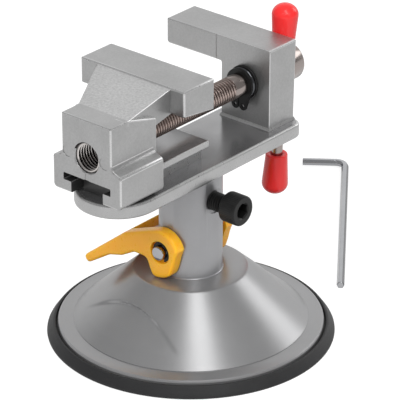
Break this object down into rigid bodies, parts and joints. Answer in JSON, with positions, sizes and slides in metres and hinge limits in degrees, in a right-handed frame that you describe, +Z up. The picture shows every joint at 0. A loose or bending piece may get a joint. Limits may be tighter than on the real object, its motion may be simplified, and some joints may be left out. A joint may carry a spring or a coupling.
{
  "type": "suction base vise",
  "caption": "Small bench vise that swivels on a lever-operated suction base, with a sliding jaw, a screw with a tommy bar, a clamp screw and a loose hex key.",
  "frame": {"origin": "on the column's swivel axis, in the plane that the rubber's sealing face stands on", "axes": "+Z up along the column, +X along the lead screw from the movable jaw towards the tommy bar, +Y towards the side that the jaws overhang and the suction lever points to"},
  "size_m": [0.23, 0.1254, 0.1298],
  "materials": {
    "satin_casting": "turned and polished cast aluminium",
    "grey_casting": "fine blasted cast aluminium with ground faces",
    "black_rubber": "semi-matt moulded rubber",
    "plain_steel": "turned steel",
    "spring_steel": "drawn spring wire",
    "plated_steel": "bright nickel plating",
    "bright_steel": "bright drawn steel",
    "black_steel": "black oxide with a light oil film",
    "amber_plastic": "smooth moulded plastic",
    "red_plastic": "dipped glossy plastic"
  },
  "bodies": {
    "base": {"base_housing": "satin_casting", "column": "satin_casting", "suction_cup": "black_rubber", "cup_membrane": "black_rubber", "return_spring": "spring_steel", "hex_key": "bright_steel"},
    "head": {"vise_body": "grey_casting", "swivel_spigot": "plain_steel"},
    "clamp": {"clamp_screw": "black_steel"},
    "jaw": {"movable_jaw": "grey_casting"},
    "screw": {"lead_screw": "plated_steel", "screw_circlip": "black_steel", "dished_washer": "black_steel", "front_washer": "black_steel", "rear_washer": "plated_steel"},
    "bar": {"tommy_bar": "plated_steel", "upper_cap": "red_plastic", "lower_cap": "red_plastic"},
    "rod": {"pull_rod": "plain_steel", "lever_pin": "plain_steel", "near_pin_clip": "black_steel", "far_pin_clip": "black_steel", "cup_plate": "plain_steel", "lock_nut": "plain_steel"},
    "lever": {"lever": "amber_plastic"}
  },
  "joints": [
    {"name": "head_swivel", "type": "hinge", "parent": "base", "child": "head", "pos_m": [0, 0, 0.0768], "axis": [0, 0, 1], "continuous": true},
    {"name": "clamp_turn", "type": "hinge", "parent": "base", "child": "clamp", "pos_m": [0, -0.024, 0.064], "axis": [0, 1, 0], "range_deg": [-360, 270]},
    {"name": "handle_turn", "type": "hinge", "parent": "head", "child": "screw", "pos_m": [0.0593, 0, 0.1022], "axis": [-1, 0, 0], "range_deg": [-961, 8377]},
    {"name": "jaw_slide", "type": "slide", "parent": "head", "child": "jaw", "axis": [1, 0, 0], "range_m": [-0.004, 0.0349]},
    {"name": "bar_slide", "type": "slide", "parent": "screw", "child": "bar", "axis": [0, -0.0558, 0.9984], "range_m": [0, 0.0341]},
    {"name": "lever_throw", "type": "hinge", "parent": "rod", "child": "lever", "pos_m": [0, 0.0013, 0.0423], "axis": [1, 0, 0], "range_deg": [0, 45]},
    {"name": "rod_lift", "type": "slide", "parent": "base", "child": "rod", "axis": [0, 0, 1], "range_m": [-0.002, 0], "deforming": ["return_spring", "cup_membrane"]}
  ],
  "couplings": [
    {"joint": "handle_turn", "follows": "jaw_slide", "rad_per_m": 4188.8},
    {"joint": "lever_throw", "follows": "rod_lift", "rad_per_m": -392.69}
  ]
}
